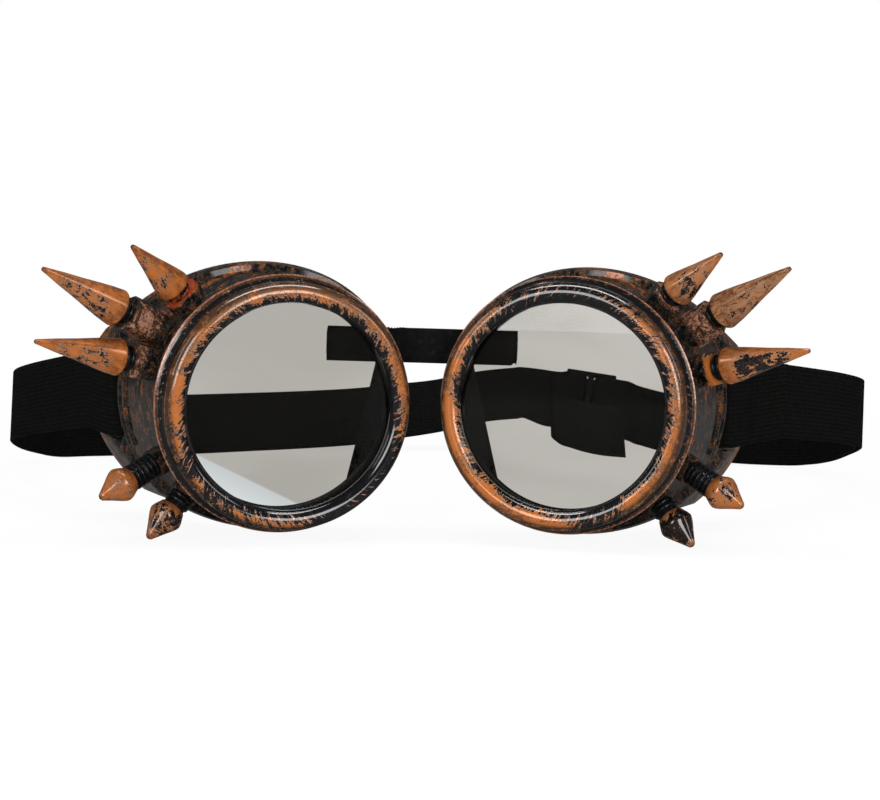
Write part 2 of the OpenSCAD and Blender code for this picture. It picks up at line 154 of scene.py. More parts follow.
class Finish:
    """A small helper that builds one node material."""

    def __init__(self, name):
        self.material = bpy.data.materials.new(name)
        self.material.use_nodes = True
        self.tree = self.material.node_tree
        self.shader = self.tree.nodes["Principled BSDF"]
        self.place = self.add("ShaderNodeTexCoord").outputs["Object"]

    def add(self, kind, **settings):
        node = self.tree.nodes.new(kind)
        for key, value in settings.items():
            setattr(node, key, value)
        return node

    def put(self, socket, value):
        if isinstance(value, bpy.types.NodeSocket):
            self.tree.links.new(value, socket)
        else:
            socket.default_value = value

    def mapping(self, scale=(1, 1, 1), turned=(0, 0, 0), source=None):
        node = self.add("ShaderNodeMapping")
        self.put(node.inputs["Vector"], source or self.place)
        node.inputs["Scale"].default_value = scale
        node.inputs["Rotation"].default_value = turned
        return node.outputs["Vector"]

    def noise(self, scale, detail=6, rough=0.6, distortion=0.0, vector=None):
        node = self.add("ShaderNodeTexNoise")
        self.put(node.inputs["Vector"], vector or self.place)
        node.inputs["Scale"].default_value = scale
        node.inputs["Detail"].default_value = detail
        node.inputs["Roughness"].default_value = rough
        node.inputs["Distortion"].default_value = distortion
        return node.outputs["Fac"]

    def ramp(self, value, low, high, to_low=0.0, to_high=1.0, smooth=True):
        node = self.add("ShaderNodeMapRange")
        node.interpolation_type = "SMOOTHSTEP" if smooth else "LINEAR"
        self.put(node.inputs["Value"], value)
        for key, v in (("From Min", low), ("From Max", high), ("To Min", to_low), ("To Max", to_high)):
            node.inputs[key].default_value = v
        return node.outputs["Result"]

    def math(self, operation, a, b=0.0):
        node = self.add("ShaderNodeMath", operation=operation)
        self.put(node.inputs[0], a)
        self.put(node.inputs[1], b)
        return node.outputs[0]

    def mix(self, share, a, b):
        node = self.add("ShaderNodeMix", data_type="RGBA")
        self.put(node.inputs["Factor"], share)
        for socket, value in ((node.inputs["A"], a), (node.inputs["B"], b)):
            self.put(socket, value if isinstance(value, bpy.types.NodeSocket) else (*value, 1))
        return node.outputs["Result"]

    def blend(self, share, a, b):
        node = self.add("ShaderNodeMix", data_type="FLOAT")
        self.put(node.inputs["Factor"], share)
        self.put(node.inputs["A"], a)
        self.put(node.inputs["B"], b)
        return node.outputs["Result"]

    def bump(self, height, strength, distance):
        node = self.add("ShaderNodeBump")
        self.put(node.inputs["Height"], height)
        node.inputs["Strength"].default_value = strength
        node.inputs["Distance"].default_value = distance
        self.put(self.shader.inputs["Normal"], node.outputs["Normal"])


# Colours, as linear red, green and blue
COPPER = (0.42, 0.126, 0.025)
BRONZE = (0.20, 0.090, 0.038)
RUST = (0.15, 0.043, 0.012)
ROSE = (0.44, 0.22, 0.115)
TAN = (0.33, 0.19, 0.105)
PINK = (0.42, 0.225, 0.16)
RED = (0.28, 0.04, 0.010)
BROWN = (0.055, 0.023, 0.010)
DIM_BRONZE = (0.085, 0.045, 0.022)
GREY_BLUE = (0.022, 0.021, 0.018)
BLACK = (0.0035, 0.0035, 0.0045)

# Places that the paint follows, in metres: radii from the lens axis, depths behind the front
OPENING_R, CREST_R, LIP_R, BORE_R = 0.0240, 0.0289, 0.0300, 0.0255
GROOVE_R, GROOVE_Z = 0.0299, -0.0028
RIM_R, RIM_FRONT, RIM_BACK = 0.0310, -0.0196, -0.0226
SKIRT_R, SKIRT_FRONT, SKIRT_BACK, SKIRT_FLARE = 0.0311, -0.0213, -0.0713, 0.0120
REAR_FROM, REAR_TO = -0.043, -0.050


def parts_of(f, vector):
    """The three numbers in a vector."""
    split = f.add("ShaderNodeSeparateXYZ")
    f.put(split.inputs[0], vector)
    return split.outputs


def own_frame(f, place, side):
    """The directions of a piece that stands at a place on one side, in metres."""
    square = place @ Matrix.Diagonal((side, 1, 1, 1))
    node = f.add("ShaderNodeMapping", vector_type="TEXTURE")
    f.put(node.inputs["Vector"], f.place)
    node.inputs["Location"].default_value = square.translation
    node.inputs["Rotation"].default_value = square.to_3x3().normalized().to_euler()
    node.inputs["Scale"].default_value = (side, 1, 1)
    return node.outputs["Vector"]


def cup_frame(f, side):
    """A cup's own directions: x outward, y up, z forward from the bezel's front."""
    return own_frame(f, cup_place(side), side)


def coat_finish(f, colour, dark, relief, strength=0.3, shine=0.6):
    """Rubbed copper over glossy black: the black lies a little lower and shines more."""
    f.put(f.shader.inputs["Base Color"], colour)
    f.put(f.shader.inputs["Metallic"], f.blend(dark, 0.15, 0.0))
    f.put(f.shader.inputs["Roughness"],
          f.math("ADD", f.blend(dark, 0.11, 0.05), f.math("MULTIPLY", relief, 0.10)))
    f.shader.inputs["Specular IOR Level"].default_value = shine
    height = f.math("ADD", f.math("MULTIPLY", dark, -0.5), f.math("MULTIPLY", relief, 0.5))
    f.bump(height, strength, 0.00004)
    return f.material


def sum_of(f, *shares):
    """Adds up values, each times its share."""
    total = None
    for value, share in shares:
        part = f.math("MULTIPLY", value, share)
        total = part if total is None else f.math("ADD", total, part)
    return total


def around_axis(f, local):
    """Radius from the lens axis, the unit direction round it, and depth behind the front."""
    x, y, z = parts_of(f, local)
    r = f.math("SQRT", f.math("ADD", f.math("MULTIPLY", x, x), f.math("MULTIPLY", y, y)))
    return r, f.math("DIVIDE", x, r), f.math("DIVIDE", y, r), z


def toward(f, ux, uy, way, low, high):
    """A lobe that grows where the direction round the axis nears an angle in degrees."""
    c, si = cos(radians(way)), sin(radians(way))
    return f.ramp(f.math("ADD", f.math("MULTIPLY", ux, c), f.math("MULTIPLY", uy, si)), low, high)


# Where each bezel is mostly black: degrees round from its outer side, reach, how much more black
BLACKENED = {LEFT: [(232, 42, 0.20), (325, 34, 0.07), (285, 25, 0.05), (195, 14, 0.04)],
             RIGHT: [(88, 48, 0.11), (290, 18, 0.09), (35, 25, 0.03), (225, 60, -0.05)]}


def bezel_paint(side):
    """Copper on the crest, brown streaks on the outer flank, copper dry-brushed over black
    towards the opening, a black groove and a rubbed line on the lip."""
    f = Finish(SIDE_NAME[side] + "_bezel_paint")
    r, ux, uy, z = around_axis(f, cup_frame(f, side))
    across_flow = f.add("ShaderNodeCombineXYZ")
    along_flow = f.add("ShaderNodeCombineXYZ")
    # the brush marks lean a little round the ring
    slant = f.math("MULTIPLY", f.math("SUBTRACT", r, 0.0265), 28.0)
    sx = f.math("SUBTRACT", ux, f.math("MULTIPLY", uy, slant))
    sy = f.math("ADD", uy, f.math("MULTIPLY", ux, slant))
    for node, way, round_share, r_share in ((across_flow, (sx, sy, r), 0.027, 0.3),
                                            (along_flow, (ux, uy, r), 0.006, 1.0)):
        for socket, value, share in zip(node.inputs, way, (round_share, round_share, r_share)):
            f.put(socket, f.math("MULTIPLY", value, share))
    bristle = f.noise(1250, 5, 0.68, 0.5, across_flow.outputs[0])
    streak = f.noise(1700, 5, 0.65, 0.3, along_flow.outputs[0])
    cloudy = f.noise(150, 4, 0.6, 0.8)
    fine = f.noise(2300, 5, 0.7, 0.4)
    cover = sum_of(f, (bristle, 0.45), (cloudy, 0.25), (fine, 0.3))
    t = f.ramp(r, OPENING_R, CREST_R, smooth=False)
    bias = f.ramp(t, 0.04, 0.62, 0.085, -0.068)
    for way, reach, much in BLACKENED[side]:
        lobe = toward(f, ux, uy, way, cos(radians(reach)), cos(radians(reach * 0.35)))
        bias = f.math("ADD", bias, f.math("MULTIPLY", lobe, much))
    groove = f.math("MULTIPLY", f.ramp(z, GROOVE_Z, GROOVE_Z - 0.0006),
                    f.ramp(r, GROOVE_R, GROOVE_R - 0.0006))
    bias = f.math("ADD", bias, f.math("MULTIPLY", groove, 0.13))
    bare = f.math("SUBTRACT", f.math("SUBTRACT", cover, 0.5), bias)
    lip = f.ramp(r, LIP_R, LIP_R + 0.0003)
    off_lip = f.math("SUBTRACT", 1.0, f.math("MULTIPLY", lip, 0.8))
    dark = f.math("MULTIPLY", f.ramp(bare, 0.012, -0.012), off_lip)
    warm = f.mix(f.ramp(sum_of(f, (bristle, 0.5), (fine, 0.5)), 0.40, 0.56), RUST, BRONZE)
    low = toward(f, ux, uy, 270, -0.9, 0.6)
    orange = f.math("ADD", sum_of(f, (cloudy, 0.6), (fine, 0.4)), f.math("MULTIPLY", low, 0.05))
    warm = f.mix(f.ramp(orange, 0.49, 0.56), warm, COPPER)
    thin = f.ramp(bare, 0.07, 0.0)
    warm = f.mix(f.math("MULTIPLY", thin, f.ramp(fine, 0.4, 0.62)), warm, ROSE)
    flank = f.mix(f.ramp(streak, 0.5, 0.66), BROWN, f.mix(f.ramp(fine, 0.45, 0.6), RUST, TAN))
    warm = f.mix(f.ramp(t, 0.60, 0.84), warm, flank)
    warm = f.mix(lip, warm, f.mix(f.ramp(fine, 0.42, 0.6), RUST, PINK))
    under = f.mix(f.ramp(streak, 0.56, 0.7, 0.0, 0.8), BLACK, GREY_BLUE)
    hairs = f.math("MULTIPLY", f.ramp(bristle, 0.56, 0.6), f.ramp(bare, -0.13, -0.03))
    hairs = f.math("MULTIPLY", hairs, f.math("MULTIPLY", f.ramp(t, 0.1, 0.22), f.ramp(t, 0.8, 0.6)))
    under = f.mix(hairs, under, PINK)
    return coat_finish(f, f.mix(dark, warm, under), dark, sum_of(f, (bristle, 0.6), (fine, 0.4)))


# One seat on each cup is a plain bright colour: degrees round, reach, colour
BRIGHT_SEAT = {LEFT: (FOOT_ANGLE[LEFT][0], 8, RED), RIGHT: (FOOT_ANGLE[RIGHT][2] - 5, 10, COPPER)}


def cup_paint(side):
    """The cup's mottled skin: brown, copper, grey-blue and black, with pinkish rubbed seats whose
    forward faces are also painted lighter as painted light, and a glossy black inside."""
    f = Finish(SIDE_NAME[side] + "_cup_paint")
    r, ux, uy, z = around_axis(f, cup_frame(f, side))
    dab = f.noise(330, 6, 0.68, 1.4, f.mapping((1, 1, 0.7), (0.7, 0.3, 1.9)))
    fine = f.noise(2100, 5, 0.7, 0.6)
    scratch = f.noise(900, 5, 0.7, 0.8, f.mapping((1, 0.35, 1), (0.4, 0.2, 0.9)))
    rim = f.math("MULTIPLY", f.ramp(z, RIM_FRONT, RIM_FRONT - 0.001), f.ramp(r, RIM_R, RIM_R + 0.0004))
    rim = f.math("MULTIPLY", rim, f.ramp(z, RIM_BACK, RIM_BACK + 0.0007))
    rear = f.ramp(z, REAR_FROM, REAR_TO)
    skirt = f.math("ADD", f.ramp(z, SKIRT_FRONT, SKIRT_BACK, 0.0, SKIRT_FLARE, smooth=False), SKIRT_R)
    above = f.math("SUBTRACT", r, skirt)
    seat = f.ramp(above, 0.0010, 0.0022)
    behind = f.math("MULTIPLY", f.ramp(above, -0.0008, -0.0013), f.ramp(z, -0.0206, -0.0214))
    inside = f.math("MAXIMUM", f.ramp(r, BORE_R, BORE_R - 0.0007), behind)
    # Seat faces that face forward are painted lighter and pinker: partly rubbed pink paint, partly painted
    # light on the faces that meet the lamps.
    facing = f.add("ShaderNodeVectorMath", operation="DOT_PRODUCT")
    f.put(facing.inputs[0], f.add("ShaderNodeNewGeometry").outputs["Normal"])
    facing.inputs[1].default_value = (cup_place(side).to_3x3() @ Vector((0, 0, 1))).normalized()
    rubbed_lit_plate = f.math("MULTIPLY", seat, f.ramp(facing.outputs["Value"], 0.42, 0.5))
    tone = sum_of(f, (dab, 0.6), (fine, 0.4), (rim, 0.095), (rubbed_lit_plate, 0.075), (rear, 0.055))
    seat_way, reach, bright = BRIGHT_SEAT[side]
    near_it = toward(f, ux, uy, seat_way, cos(radians(reach + 1)), cos(radians(reach - 1)))
    plain = f.math("MULTIPLY", seat, near_it)
    tone = f.math("ADD", tone, f.math("MULTIPLY", plain, 0.1))
    copper = f.mix(f.ramp(fine, 0.46, 0.70), RUST, COPPER)
    copper = f.mix(f.math("MULTIPLY", rubbed_lit_plate, f.ramp(scratch, 0.40, 0.56, 0.2, 0.9)), copper, PINK)
    copper = f.mix(plain, copper, bright)
    skin = f.mix(f.ramp(tone, 0.482, 0.490), BLACK, GREY_BLUE)
    skin = f.mix(f.ramp(tone, 0.530, 0.538), skin, f.mix(f.ramp(scratch, 0.5, 0.64), BROWN, DIM_BRONZE))
    skin = f.mix(f.ramp(tone, 0.582, 0.598), skin, copper)
    skin = f.mix(inside, skin, BLACK)
    dark = f.math("MAXIMUM", f.ramp(tone, 0.582, 0.567), inside)
    return coat_finish(f, skin, dark, sum_of(f, (dab, 0.5), (fine, 0.5)), 0.6, 0.28)


# For each spike and stud: the way round it that is scuffed, in degrees, how scuffed that is,
# how well copper covers the rest, and how dull the copper is
FLANK = {LEFT: [235, 235, 225, 180, 180], RIGHT: [205, 225, 215, 180, 160]}
WORN = {LEFT: [0.10, 0.10, 0.10, 0.06, 0.09], RIGHT: [0.12, 0.09, 0.14, 0.08, 0.14]}
BASE_COVER = {LEFT: [0.125, 0.12, 0.13, 0.11, 0.085], RIGHT: [0.12, 0.125, 0.115, 0.10, 0.05]}
DULL = {LEFT: [0.0, 0.1, 0.0, 0.1, 0.3], RIGHT: [0.4, 0.6, 0.1, 0.1, 0.5]}


def spike_paint(side, i):
    """Orange copper with grey and black scuffs along one flank and a blackened foot and tip."""
    f = Finish(f"{SIDE_NAME[side]}_{KINDS[i]}_paint")
    local = own_frame(f, spike_place(side, i) @ Matrix.Translation((0, 0, NECK_H[i])), side)
    r, ux, uy, z = around_axis(f, local)
    along = f.math("DIVIDE", z, SPIKE_LEN[i] * MM)
    cloudy = f.noise(230, 4, 0.6, 0.6)
    brush = f.noise(800, 6, 0.7, 0.9, f.mapping((1, 1, 0.4), source=local))
    fine = f.noise(2300, 5, 0.7, 0.4)
    cover = sum_of(f, (brush, 0.45), (cloudy, 0.3), (fine, 0.25))
    flank = toward(f, ux, uy, FLANK[side][i], -0.2, 0.8)
    band = f.math("MULTIPLY", f.ramp(along, 0.03, 0.25), f.ramp(along, 0.97, 0.7))
    bare = f.math("ADD", f.math("SUBTRACT", cover, 0.5), BASE_COVER[side][i])
    bare = f.math("SUBTRACT", bare, f.math("MULTIPLY", f.math("MULTIPLY", flank, band), WORN[side][i]))
    ends = f.math("MAXIMUM", f.ramp(along, 0.022, 0.012), f.ramp(along, 0.975, 0.995, 0.0, 0.7))
    dark = f.math("MAXIMUM", f.ramp(bare, 0.012, -0.012), ends)
    warm = f.mix(f.ramp(sum_of(f, (cloudy, 0.5), (brush, 0.5)), 0.40, 0.58), RUST, COPPER)
    warm = f.mix(DULL[side][i], warm, f.mix(f.ramp(brush, 0.42, 0.58), BROWN, TAN))
    warm = f.mix(f.math("MULTIPLY", f.ramp(bare, 0.06, 0.0), 0.7), warm, ROSE)
    under = f.mix(f.ramp(fine, 0.5, 0.62, 0.0, 0.9), BLACK, BROWN)
    return coat_finish(f, f.mix(dark, warm, under), dark, sum_of(f, (brush, 0.6), (fine, 0.4)))


def gloss_black(name, rough=0.2, shine=0.35):
    """Black plastic with faint wear."""
    f = Finish(name)
    wear = f.noise(700, 5, 0.6)
    f.put(f.shader.inputs["Base Color"], f.mix(f.ramp(wear, 0.5, 0.75), BLACK, (0.016, 0.016, 0.018)))
    f.put(f.shader.inputs["Roughness"], f.ramp(wear, 0.3, 0.7, rough, rough + 0.15))
    f.shader.inputs["Specular IOR Level"].default_value = shine
    f.bump(f.noise(1500, 4, 0.6), 0.1, 0.00005)
    return f.material


neck_black = gloss_black("neck_black")


def red_neck():
    """The left upper spike's neck, brushed coppery red over black."""
    f = Finish("neck_red")
    brushed = f.noise(900, 5, 0.65)
    dark = f.ramp(brushed, 0.52, 0.47)
    return coat_finish(f, f.mix(dark, RED, BLACK), dark, brushed)


neck_red = red_neck()
strip_black = gloss_black("strip_black", 0.32, 0.2)
slider_black = gloss_black("slider_black", 0.5, 0.06)
thread_black = gloss_black("thread_black", 0.7, 0.08)


def elastic_material():
    """Matte black elastic: fine ribs along its length and a faint cross weave."""
    f = Finish("elastic_black")
    rib_pitch, weft_pitch = 0.0011, 0.0009
    along, across, _ = parts_of(f, f.add("ShaderNodeUVMap", uv_map="weave").outputs["UV"])
    rib = f.math("SINE", f.math("MULTIPLY", across, 2 * pi / rib_pitch))
    weft = f.math("SINE", f.math("MULTIPLY", along, 2 * pi / weft_pitch))
    knit = f.math("ADD", rib, f.math("MULTIPLY", weft, 0.35))
    fuzz = f.noise(900, 5, 0.7)
    tone = f.ramp(f.math("ADD", f.math("MULTIPLY", knit, 0.12), fuzz), 0.2, 0.9)
    f.put(f.shader.inputs["Base Color"], f.mix(tone, (0.0022, 0.0022, 0.0022), (0.007, 0.007, 0.0065)))
    f.shader.inputs["Roughness"].default_value = 0.9
    f.shader.inputs["Specular IOR Level"].default_value = 0.03
    f.bump(knit, 0.1, 0.00005)
    return f.material


elastic = elastic_material()


def lens_material(side):
    """Grey lens, a little cloudy, with a pale patch of painted light low on the left one."""
    f = Finish(SIDE_NAME[side] + "_lens_grey")
    r, ux, uy, z = around_axis(f, cup_frame(f, side))
    haze = f.noise(28, 2, 0.5, 0.5, f.mapping((0.5, 1, 1.6)))
    tint = f.mix(f.ramp(haze, 0.35, 0.65), (0.435, 0.42, 0.385), (0.53, 0.51, 0.475))
    # The pale patch low on the left lens is painted light, cut off by a straight edge along a line.
    if side == LEFT:
        slope, drop = 0.55, 0.0215
        x, y = f.math("MULTIPLY", ux, r), f.math("MULTIPLY", uy, r)
        below = f.math("SUBTRACT", f.math("MULTIPLY", x, slope), f.math("ADD", y, drop))
        painted_light_patch = f.mix(f.ramp(below, 0.0, 0.008), (0.60, 0.63, 0.63), (0.72, 0.77, 0.78))
        tint = f.mix(f.ramp(below, 0.0, 0.0007), tint, painted_light_patch)
    f.put(f.shader.inputs["Base Color"], tint)
    f.shader.inputs["Roughness"].default_value = 0.0
    f.shader.inputs["IOR"].default_value = 1.18
    f.shader.inputs["Transmission Weight"].default_value = 1.0
    return f.material


seal_black = gloss_black("seal_black", 0.6)

# Bezels


def bezel(side):
    """The ring from its lens seat round the opening and the crest to the grooved skirt."""
    crest_r = 2.45
    profile = (
        [(25.15, -2.2), (24.15, -2.2), (24, -2.05), (24, -1.4)]
        + arc(26.45, -2.45, crest_r, 156, 0, 22)
        + [(28.82, -3.0), (28.5, -3.5), (28.4, -3.9), (28.45, -4.6), (28.75, -5.0), (28.85, -5.5),
           (28.5, -5.9), (28.6, -6.3), (29.4, -6.9), (30.1, -7.35), (30.33, -7.45), (30.4, -7.6),
           (30.4, -8.1), (30.3, -8.2), (27.1, -8.2), (27, -8.1), (27, -4.2), (25.15, -4.2)])
    name = SIDE_NAME[side] + "_bezel_ring"
    piece = new_piece(name, lathe(profile, 192, closed=True), bezel_paint(side), cup_place(side))
    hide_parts(SIDE_NAME[side] + "_bezel")
    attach(piece, SIDE_NAME[side] + "_ring")


# Spikes and studs


def neck_profile(h, r=2.7, rib=3.15, pitch=1.3):
    """A round neck with ribs along it."""
    points = [(0, 0), (r, 0)]
    ribs = int((h - 0.4) / pitch)
    for k in range(ribs):
        z = 0.4 + k * pitch
        points += [(r, z), (rib - 0.1, z + 0.05), (rib, z + 0.2), (rib, z + 0.5), (rib - 0.1, z + 0.65),
                   (r, z + 0.72)]
    return points + [(r, h), (0, h)]


def spike(side, i):
    """A long spike, or a short stud with a shoulder, and its neck."""
    stud = i > 2
    length, base = SPIKE_LEN[i], SPIKE_BASE_R[i]
    place = spike_place(side, i)
    if stud:
        widest = 4.1
        body = [(0, 0), (base - 0.15, 0), (base, 0.1), (widest - 0.2, length * 0.21),
                (widest - 0.03, length * 0.27), (widest, length * 0.31), (widest * 0.97, length * 0.36),
                (widest * 0.86, length * 0.46), (widest * 0.56, length * 0.68), (1.15, length * 0.9),
                (0.85, length * 0.96), (0.45, length * 0.99), (0, length)]
    else:
        tip = 0.6
        body = [(0, 0), (base - 0.35, 0), (base - 0.1, 0.08), (base, 0.3), (base * 0.985, 0.8),
                (base * 0.9, length * 0.16), (base * 0.73, length * 0.34), (base * 0.55, length * 0.52),
                (base * 0.36, length * 0.74), (tip + 0.15, length * 0.93), (tip, length * 0.97),
                (tip * 0.75, length * 0.99), (0, length)]
    name = SIDE_NAME[side] + "_" + KINDS[i]
    cone = new_piece(name + "_body", lathe(body, 64), spike_paint(side, i),
                     place @ Matrix.Translation((0, 0, NECK_H[i])))
    neck = new_piece(name + "_neck", lathe(neck_profile(NECK_H[i]), 48),
                     neck_red if (side, i) == (LEFT, 0) else neck_black, place)
    for piece in (cone, neck):
        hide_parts(name)
        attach(piece, SIDE_NAME[side] + "_cup")


# Head strap

STRAP_W, STRAP_T = 19.5, 1.0

# The strap's middle line between each lug and the slider: x, y, z in mm and its top's lean out in degrees
LEFT_RUN = [
    (-95.5, 53, -3.2, 0), (-107, 67, -6.5, 0), (-115.5, 80, -9.6, -3), (-120.3, 95, -13.2, -5),
    (-122, 111, -17.8, -4), (-121, 125, -21.6, 0), (-118.3, 137, -24.6, 2), (-110, 142.8, -25.3, 4),
    (-96.5, 146.5, -25.6, 6), (-79, 153, -26.2, 8), (-62, 162.5, -26.9, 10), (-44, 170.8, -27.3, 13),
    (-26, 174, -26.6, 19), (-12, 176.5, -25.2, 26), (2, 178.5, -23.6, 32), (18, 181, -20.6, 35),
    (32, 182, -19.4, 34)]
RIGHT_RUN = [
    (71.3, 178, -26.8, 12), (79.6, 173, -28.5, 8), (89, 163, -29.2, 5), (99.5, 154.5, -29.4, 3),
    (111.5, 150, -29.4, 0), (120.5, 143, -28.3, 0), (124.3, 128, -24.6, 0), (125.2, 111, -19.8, 0),
    (124.6, 96, -15.6, 0), (121, 84, -12.6, 0), (112, 71.5, -9.6, 0), (101, 60, -7, 0), (92, 50.5, -5, 0)]

# At the slider, along the strap and outward from its middle: over the middle bar, the loop round
# that bar, and the end of the sewn half
THROUGH = [(-12, -0.8), (-8.8, -1.8), (-6.4, -1.85), (-5.3, -1.4), (-4.4, -0.3), (-3.4, 1.4),
           (-2.4, 2.7), (-1.3, 3.2), (0, 3.3), (1.3, 3.2), (2.4, 2.7), (3.4, 1.4), (4.4, -0.3),
           (5.3, -1.4), (6.4, -1.85), (8.8, -1.9), (12, -1.4)]
WRAP = [(13, -3.1), (9, -3.25), (6.2, -3.15), (4.4, -2.6), (3, -1.9), (2, -1.2), (1.9, 0),
        (1.85, 1.25), (1.3, 1.9), (0, 2), (-1.3, 1.9), (-1.85, 1.25), (-1.9, 0), (-2, -1.2),
        (-3, -2.2), (-4.6, -2.9), (-6.4, -3.2), (-8.6, -3.7)]
SEWN_END = [(-13.2, -1.2), (-11, -1.75), (-8.8, -1.8), (-7.8, -1.83)]

# The loose end that hangs below the slider
TAIL = [(42.4, 174.9, -21.9, 24), (41.2, 172.8, -23.4, 26), (41.8, 170.8, -25, 29), (43.8, 169.5, -26.4, 32),
        (46.6, 168.8, -27.4, 35), (50.5, 167.2, -28.7, 39), (57, 165.5, -30, 41), (64.5, 162.5, -30.3, 42)]

SLIDER_AT, SLIDER_TURN, SLIDER_LEAN, SLIDER_FALL = (53.5, 178.6, -23.4), radians(-9), 22, radians(8)
SLIDER = (Matrix.Translation(SLIDER_AT) @ turn(SLIDER_TURN, "Z") @ turn(SLIDER_FALL, "Y")
          @ turn(radians(-SLIDER_LEAN), "X"))
LAYER = STRAP_T + 0.3


def curve_through(points, steps):
    """A smooth curve through points, each a tuple of any length."""
    out = []
    for i in range(len(points) - 1):
        a, b, c, d = points[max(i - 1, 0)], points[i], points[i + 1], points[min(i + 2, len(points) - 1)]
        for k in range(steps):
            t = k / steps
            out.append(tuple(0.5 * (2 * q + (r - p) * t + (2 * p - 5 * q + 4 * r - s) * t * t
                                    + (3 * q - p - 3 * r + s) * t ** 3) for p, q, r, s in zip(a, b, c, d)))
    return out + [points[-1]]


def side_of(points, i):
    """The level direction that faces out of a path at a point."""
    a, b = points[max(i - 1, 0)], points[min(i + 1, len(points) - 1)]
    return Vector((a[1] - b[1], b[0] - a[0])).normalized()


def shifted(points, by):
    """The same path moved outward by a distance."""
    out = []
    for i, p in enumerate(points):
        n = side_of(points, i)
        out.append((p[0] + n.x * by, p[1] + n.y * by, p[2], p[3]))
    return out


def lug_path(side):
    """The strap's way over a lug, in through its slot and back along the inside."""
    wall, mid, clear_out, clear_in, drop = 2.2, 37.9, 0.35, 0.4, 0.5

    def out_at(back):
        return skirt_r(back) + STRAP_T / 2 + clear_out

    def in_at(back):
        return ((skirt_r(back) - wall) ** 2 - STRAP_W ** 2 / 4) ** 0.5 - STRAP_T / 2 - clear_in

    loop = [(out_at(56.5), 57), (out_at(50), 50), (out_at(44), 44), (out_at(mid + 2.6), mid + 2.6),
            (out_at(mid) - 0.2, mid + 0.8), (out_at(mid) - 1.7, mid + 0.2),
            (in_at(mid) + 1.1, mid), (in_at(mid) - 0.5, mid + 0.8), (in_at(43) - 0.6, 43),
            (in_at(49) - 0.3, 49), (in_at(54.5) + 0.4, 55.5)]
    to_row = STAND.inverted() @ cup_place(side)
    path = []
    for out, back in loop:
        p = to_row @ Vector((out, 0, -back))
        path.append((p.x, p.y, p.z - drop, 0))
    return path


def slider_point(s, n):
    """A point of the strap at the slider: along it and outward from its middle."""
    return SLIDER @ Vector((s, n, 0)), (SLIDER.to_3x3() @ Vector((0, 0, 1))).normalized()


def stations(points, backward=False):
    """Each point with the way its width goes, from the lean of its top outward."""
    out = []
    for i, p in enumerate(points):
        n, lean = side_of(points, i), radians(p[3])
        out.append((Vector(p[:3]), Vector((n.x * sin(lean), n.y * sin(lean), cos(lean)))))
    return out[::-1] if backward else out


def leaning_back(p):
    """A point of the loose end with its width leaning back by its fourth number."""
    return Vector(p[:3]), Vector((0, sin(radians(p[3])), cos(radians(p[3]))))


def ribbon(name, marks, thickness=STRAP_T, fine=3):
    """A flat strap through marks, each a point in mm and the way its width goes, with a UV of
    length and width in metres."""
    marks = [(Vector(m[:3]), Vector(m[3:]).normalized())
             for m in curve_through([(*point, *up) for point, up in marks], fine)]
    steps, across = len(marks) - 1, 8
    run = [0.0]
    for (a, _), (b, _) in zip(marks, marks[1:]):
        run.append(run[-1] + (b - a).length)
    bm = bmesh.new()
    bmesh.ops.create_grid(bm, x_segments=steps, y_segments=across, size=0.5)
    uv = bm.loops.layers.uv.new("weave")
    flat = {}
    for v in bm.verts:
        i, w = round((v.co.x + 0.5) * steps), v.co.y * STRAP_W
        flat[v] = (run[i] * MM, w * MM)
        v.co = marks[i][0] + marks[i][1] * w
    for face in bm.faces:
        for loop in face.loops:
            loop[uv].uv = flat[loop.vert]
    bmesh.ops.transform(bm, matrix=STAND, verts=bm.verts)
    mesh = bpy.data.meshes.new(name)
    bm.to_mesh(mesh)
    bm.free()
    mesh.materials.append(elastic)
    mesh.shade_smooth()
    obj = bpy.data.objects.new(name, mesh)
    bpy.context.scene.collection.objects.link(obj)
    thick = obj.modifiers.new("thickness", "SOLIDIFY")
    thick.thickness, thick.offset = thickness * MM, 0
    edge = obj.modifiers.new("edge", "BEVEL")
    edge.width, edge.segments, edge.limit_method, edge.angle_limit = SOFT_EDGE, 2, "ANGLE", radians(60)
    for modifier in ("thickness", "edge"):
        with bpy.context.temp_override(object=obj, active_object=obj):
            bpy.ops.object.modifier_apply(modifier=modifier)
    obj.data.set_sharp_from_angle(angle=radians(40))
    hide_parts("head_strap")
    return obj


def seam(curve):
    """Two rows of stitches through the sewn end, on both its faces."""
    stitch, pitch, on_faces = (0.22, 0.62, 0.14), 1.95, (0.52, -LAYER - 0.72)
    bm = bmesh.new()
    marks = stations(curve)
    for k in (1, 2):
        (point, up), (ahead, _) = marks[k], marks[k + 1]
        along = (ahead - point).normalized()
        outward = up.cross(along).normalized()
        turned = Matrix((along, up, outward)).transposed().to_4x4()
        for j in range(-4, 5):
            for off in on_faces:
                place = Matrix.Translation(point + up * (pitch * j) + outward * off) @ turned
                bmesh.ops.create_uvsphere(bm, u_segments=12, v_segments=8, radius=1,
                                          matrix=place @ Matrix.Diagonal((*stitch, 1)))
    piece = new_piece("strap_seam", bm, thread_black, STAND)
    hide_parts("head_strap")
    return piece


